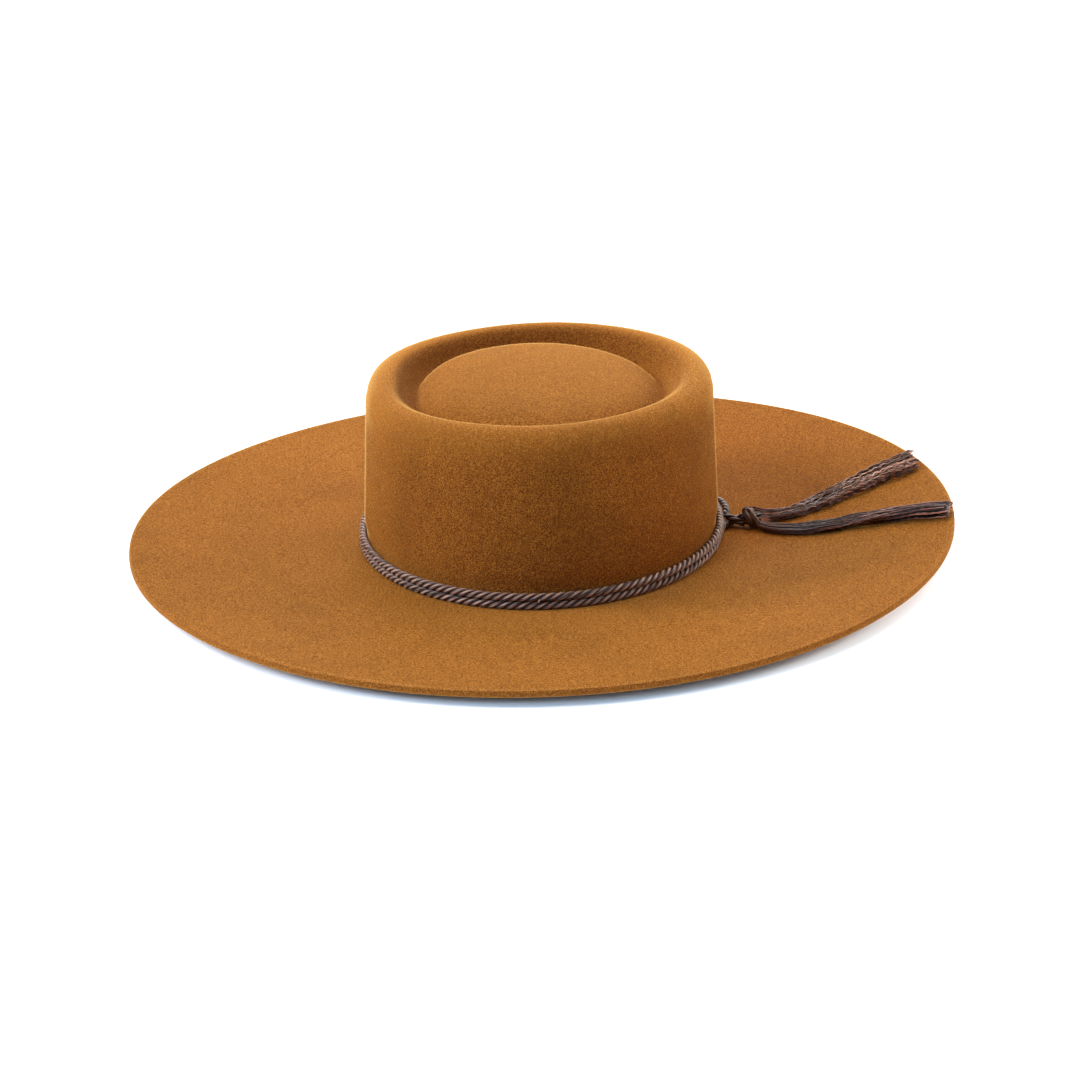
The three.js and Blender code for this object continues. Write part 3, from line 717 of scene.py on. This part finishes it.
# Knot. The two ends are tied in one small knot: two tight wraps of loose thread lie aslant over the
# ends that pass through, and a small loop stands at its upper corner.
KNOT_SIDES = 8
WRAP_STEPS = 44
LOOP_STEPS = 32
PASSING_STEPS = 24
GOLDEN_TURN = 2.39996


def bundle(line, threads, across, up, thread_radius, seed, twist, shades):
    """Threads lying side by side round a line, packed evenly in an oval."""
    draw = np.random.default_rng(seed)
    side, top = carried_frame(line)
    run = run_of(line)
    made = []
    for k in range(threads):
        out = math.sqrt((k + 0.5) / threads)
        turn = k * GOLDEN_TURN + draw.normal(0.0, 0.15) + twist * run
        path = (line + side * (across * out * np.cos(turn))[:, None]
                + top * (up * out * np.sin(turn))[:, None])
        made.append({
            "line": path, "radius": thread_radius * draw.uniform(0.85, 1.15),
            "shade": draw.uniform(*shades), "core": (line, max(across, up) + thread_radius)})
    return made


def wrap_line(radius, slant, shift, start, stop):
    """A wrap round the knot: it runs down from its upper left to its lower right."""
    turn = np.radians(np.linspace(start, stop, WRAP_STEPS))
    up = radius * np.sin(turn)
    return knot_middle + np.stack([shift - slant * up, -radius * np.cos(turn), up], axis=1)


knot_threads = bundle(
    wrap_line(radius=0.0036, slant=0.62, shift=0.0015, start=-150, stop=190),
    threads=13, across=0.0015, up=0.0011, thread_radius=0.00047, seed=11, twist=160.0, shades=(0.55, 1.0))
knot_threads += bundle(
    wrap_line(radius=0.0034, slant=0.55, shift=-0.0017, start=-160, stop=180),
    threads=12, across=0.0014, up=0.0011, thread_radius=0.00047, seed=12, twist=160.0, shades=(0.15, 0.7))
passing = np.linspace(-1.0, 1.0, PASSING_STEPS)[:, None] * (0.0042, 0.0, 0.0) + knot_middle
knot_threads += bundle(
    passing, threads=16, across=0.0026, up=0.0027, thread_radius=0.00070, seed=13, twist=60.0,
    shades=(0.0, 0.5))
loop_turn = np.radians(np.linspace(-70.0, 250.0, LOOP_STEPS))
loop_line = knot_middle + (-0.0028, -0.0008, 0.0043) + np.stack([
    0.00135 * np.cos(loop_turn), -0.0007 * np.sin(loop_turn), 0.00125 * np.sin(loop_turn)], axis=1)
knot_threads += bundle(
    loop_line, threads=7, across=0.00055, up=0.00055, thread_radius=0.00036, seed=14, twist=500.0,
    shades=(0.5, 1.0))
knot = lay_threads("tied_knot", knot_threads, KNOT_SIDES)
knot_material = thread_material(
    "knotted_thread", roughness=0.42, bump_strength=0.5, around=0.8,
    painted_shade=(0.005, 0.002, 0.001, 1.0), dark=(0.042, 0.026, 0.018, 1.0),
    middle=(0.190, 0.120, 0.083, 1.0), light=(0.620, 0.380, 0.250, 1.0),
    cut=(0.300, 0.240, 0.220, 1.0))
knot.data.materials.append(knot_material)
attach(knot, "root")
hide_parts("cord_knot")


# Tassels. Beyond the knot each end is unlaid into its three plies and combed out: wavy locks of fine
# thread that lie on the brim, with their cut ends flaring a little.
TASSEL_LENGTH = 0.090
KNOT_HALF_HEIGHT = 0.0048
LOCK_OFF_FELT = 0.0002
LOCK_WIDTH = 0.0021
LOCK_WAVE = 0.0009
LOCK_WAVE_LENGTH = 0.023
LOCK_RISE = 0.00045
LOCK_YARNS = 8
YARN_SPREAD = 0.72
YARN_THICKNESS = 0.27
YARN_THREADS = 5
YARN_TWIST = 55.0
KINK_LENGTH = 0.0034
CRIMP_LENGTH = 0.0052
COMBED_RADIUS = 0.00027
COMBED_OFF_BED = 0.0002
COMBED_SIDES = 5
TASSEL_STEP = 0.0012


def brim_top(x, y):
    """The height of the brim's upper face under places x, y outside the crown."""
    angle, reach = np.arctan2(y, x), np.hypot(x, y)
    inner = np.full(np.shape(reach), CROWN_HALF_WIDTH)
    outer = np.full(np.shape(reach), RIM_HALF_WIDTH)
    for _ in range(20):
        middle = (inner + outer) / 2
        on_brim = block_on_oval(np.stack(
            [middle * np.cos(angle), middle * np.sin(angle), np.full_like(middle, FELT_BRIM)], axis=1))
        short = np.hypot(on_brim[:, 0], on_brim[:, 1]) < reach
        inner = np.where(short, middle, inner)
        outer = np.where(short, outer, middle)
    return on_brim[:, 2]


def comb_tassel(name, seat, route, phase, fan, trim, yarn_wave, yarn_wave_length, crimp, shades, seed):
    """Three locks of yarns of wavy threads.

    A route row holds its place along and aside, its rise, and the locks' spread and thickness there.
    """
    draw = np.random.default_rng(seed)
    along, aside, rise, spread, thick = np.array(route).T
    points = np.stack([
        seat[0] + along * TASSEL_LENGTH, seat[1] + aside * TASSEL_LENGTH, rise * KNOT_HALF_HEIGHT], axis=1)
    line, beside = along_route(points, np.stack([spread, thick], axis=1) * LOCK_WIDTH, TASSEL_STEP)
    run = run_of(line)
    at = run / run[-1]
    ahead = np.gradient(line, axis=0)
    ahead[:, 2] = 0.0
    ahead /= np.linalg.norm(ahead, axis=1, keepdims=True)
    right = np.stack([ahead[:, 1], -ahead[:, 0], np.zeros(len(ahead))], axis=1)
    grown = smooth_ramp(at, 0.02, 0.35)
    threads = []
    for lane in (-1, 0, 1):
        wave = grown * np.sin(2 * np.pi * run / LOCK_WAVE_LENGTH + phase + 2 * lane)
        middle = line + right * (lane * beside[:, 0] + LOCK_WAVE * wave)[:, None]
        thickness = beside[:, 1]
        bed = brim_top(middle[:, 0], middle[:, 1]) + LOCK_OFF_FELT + line[:, 2]
        core = middle.copy()
        core[:, 2] = bed + thickness + LOCK_RISE * wave - lane * fan * (1.0 - smooth_ramp(at, 0.03, 0.22))
        for yarn in range(LOCK_YARNS):
            out = YARN_SPREAD * math.sqrt((yarn + 0.4) / LOCK_YARNS)
            turn = yarn * GOLDEN_TURN + lane + draw.normal(0.0, 0.2) + at * draw.normal(0.0, 1.6)
            bend = 2 * np.pi * run / (yarn_wave_length * draw.uniform(0.8, 1.25)) + draw.uniform(0.0, 6.3)
            kink = 2 * np.pi * run / (KINK_LENGTH * draw.uniform(0.8, 1.3)) + draw.uniform(0.0, 6.3)
            swing = yarn_wave * grown
            shift = thickness * out * np.cos(turn) + swing * (np.sin(bend) + 0.4 * np.sin(kink))
            lift = thickness * out * np.sin(turn) + swing * (0.5 * np.cos(bend) + 0.4 * np.cos(kink))
            yarn_line = core + right * shift[:, None]
            yarn_line[:, 2] += lift
            yarn_thick = thickness * YARN_THICKNESS
            yarn_shade = draw.normal(*shades)
            # Painted highlight along the crests of each yarn's waves, and paler yarns near the knot where
            # the locks start.
            crest_light_and_pale_start = grown * (0.25 * np.cos(bend) + 0.35 * np.cos(kink)) + 0.3 * (1.0 - grown)
            yarn_end = int(draw.integers(0, 3))
            for k in range(YARN_THREADS):
                inside = math.sqrt((k + 0.3) / YARN_THREADS)
                lay = k * GOLDEN_TURN + draw.normal(0.0, 0.3) + run * YARN_TWIST
                crimp_turn = (2 * np.pi * run / (CRIMP_LENGTH * draw.uniform(0.85, 1.2))
                              + draw.uniform(0.0, 6.3))
                stray = at ** 3 * draw.normal(0.0, 0.0007)
                across = yarn_thick * inside * np.cos(lay) + crimp * grown * np.sin(crimp_turn) + stray
                up = yarn_thick * inside * np.sin(lay) + 0.7 * crimp * grown * np.cos(crimp_turn)
                path = yarn_line + right * across[:, None]
                path[:, 2] = np.maximum(yarn_line[:, 2] + up, bed + COMBED_OFF_BED)
                last = len(path) - yarn_end - int(draw.integers(0, 3)) - round(abs(trim) + lane * trim)
                threads.append({
                    "line": path[:last], "radius": COMBED_RADIUS * draw.uniform(0.8, 1.25),
                    "shade": np.clip(yarn_shade + draw.normal(0.0, 0.12) + crest_light_and_pale_start, 0.0, 1.0)[:last],
                    "tip": (ramp(at, 0.965, 1.0) * draw.uniform(0.2, 1.0))[:last],
                    "core": (yarn_line[:last], yarn_thick[:last] + COMBED_RADIUS)})
    return lay_threads(name, threads, COMBED_SIDES)


back_route = [
    (-0.052, -0.004, 1.00, 0.10, 0.60), (-0.020, -0.002, 0.85, 0.20, 0.72),
    (0.015, 0.012, 0.50, 0.40, 0.84), (0.050, 0.038, 0.24, 0.62, 0.94),
    (0.106, 0.055, 0.12, 1.05, 1.05), (0.228, 0.106, 0.06, 1.43, 1.12),
    (0.394, 0.245, 0.06, 1.95, 1.22), (0.561, 0.378, 0.06, 2.35, 1.32),
    (0.728, 0.500, 0.08, 2.65, 1.40), (0.945, 0.625, 0.12, 2.90, 1.36)]
front_route = [
    (-0.028, 0.022, 0.40, 0.30, 0.75), (0.000, 0.000, 0.20, 0.40, 0.82),
    (0.064, -0.052, 0.10, 0.71, 0.88), (0.153, -0.094, 0.06, 1.05, 0.98),
    (0.264, -0.122, 0.06, 1.25, 1.14), (0.431, -0.110, 0.06, 1.35, 1.30),
    (0.620, -0.106, 0.06, 1.45, 1.48), (0.820, -0.136, 0.06, 1.60, 1.72),
    (1.024, -0.208, 0.06, 2.00, 1.90)]
back_tassel = comb_tassel(
    "back_tassel", knot_middle[:2] + (0.0038, 0.0046), back_route, phase=0.6, fan=0.0020, trim=2.5,
    yarn_wave=0.00042, yarn_wave_length=0.0062, crimp=0.00014, shades=(0.50, 0.25), seed=21)
front_tassel = comb_tassel(
    "front_tassel", knot_middle[:2] + (0.0027, -0.0033), front_route, phase=2.1, fan=0.0004, trim=-1.2,
    yarn_wave=0.00026, yarn_wave_length=0.0150, crimp=0.00005, shades=(0.46, 0.26), seed=22)
back_material = thread_material(
    "crinkled_thread", roughness=0.45, bump_strength=0.4, around=0.7,
    painted_shade=(0.007, 0.003, 0.001, 1.0), dark=(0.045, 0.018, 0.010, 1.0),
    middle=(0.260, 0.105, 0.058, 1.0), light=(0.850, 0.350, 0.190, 1.0),
    cut=(0.500, 0.260, 0.200, 1.0))
front_material = thread_material(
    "combed_thread", roughness=0.40, bump_strength=0.4, around=0.7,
    painted_shade=(0.007, 0.003, 0.002, 1.0), dark=(0.048, 0.025, 0.018, 1.0),
    middle=(0.175, 0.085, 0.060, 1.0), light=(0.700, 0.310, 0.200, 1.0),
    cut=(0.420, 0.300, 0.280, 1.0))
for tassel, node, material in ((back_tassel, "tassel_back", back_material),
                               (front_tassel, "tassel_front", front_material)):
    tassel.data.materials.append(material)
    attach(tassel, "root")
    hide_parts(node)


# Table and light. A white table in a studio tent: soft light from above, from behind and from both sides,
# and a weaker cool light from the front.
TABLE_SIZE = 14.0
bpy.ops.object.select_all(action="DESELECT")
bpy.ops.mesh.primitive_plane_add(size=TABLE_SIZE, location=(0.0, 0.0, 0.0))
table = bpy.context.object
table.name = "white_table"
table.data.materials.append(new_material(
    "matt_white", 0.9, Specular_IOR_Level=0.1, Base_Color=(0.80, 0.80, 0.80, 1.0))[0])

world = bpy.data.worlds.new("pale_sky")
world.use_nodes = True
world.node_tree.nodes["Background"].inputs["Color"].default_value = (0.85, 0.92, 1.0, 1.0)
world.node_tree.nodes["Background"].inputs["Strength"].default_value = 0.06
bpy.context.scene.world = world


def soft_light(name, place, power, size, colour):
    """A square soft box that faces the middle of the table and isn't seen itself."""
    light_data = bpy.data.lights.new(name, "AREA")
    light_data.size = size
    light_data.energy = power
    light_data.color = colour
    light = bpy.data.objects.new(name, light_data)
    bpy.context.scene.collection.objects.link(light)
    light.location = place
    light.rotation_euler = (-light.location).to_track_quat("-Z", "Y").to_euler()
    light.visible_camera = False
    return light


table_only = bpy.data.collections.new("table_only")
table_only.objects.link(table)
for name, place, power, size, colour in (
    ("table_fill_right", (0.46, -0.06, 0.14), 1.8, 0.10, (1.0, 0.98, 0.95)),
    ("table_fill_left", (-0.48, -0.12, 0.12), 1.3, 0.10, (0.98, 0.98, 1.0)),
    ("table_fill_front", (-0.10, -1.60, 0.80), 17.0, 0.80, (0.54, 0.80, 1.0)),
):
    soft_light(name, place, power, size, colour).light_linking.receiver_collection = table_only

LIGHT_DISTANCE = 2.2
LIGHT_SIZE = 0.9
WHITE_LIGHT = (1.0, 1.0, 1.0)
for name, around, above, power, colour in (
    ("top_light", 0, 90, 22.5, WHITE_LIGHT),
    ("high_back_light", 90, 55, 33.0, WHITE_LIGHT),
    ("low_back_light", 90, 22, 22.0, WHITE_LIGHT),
    ("left_light", 180, 40, 34.0, WHITE_LIGHT),
    ("low_left_light", 180, 14, 14.0, WHITE_LIGHT),
    ("right_light", 0, 40, 7.0, WHITE_LIGHT),
    ("low_right_light", 0, 14, 20.5, WHITE_LIGHT),
    ("right_back_light", 45, 40, 18.0, WHITE_LIGHT),
    ("cool_front_light", 225, 35, 28.0, (0.42, 0.66, 1.0)),
):
    turn, lift = math.radians(around), math.radians(above)
    soft_light(name, (
        LIGHT_DISTANCE * math.cos(lift) * math.cos(turn),
        LIGHT_DISTANCE * math.cos(lift) * math.sin(turn),
        LIGHT_DISTANCE * math.sin(lift),
    ), power, LIGHT_SIZE, colour)
bpy.context.scene.view_settings.view_transform = "Standard"
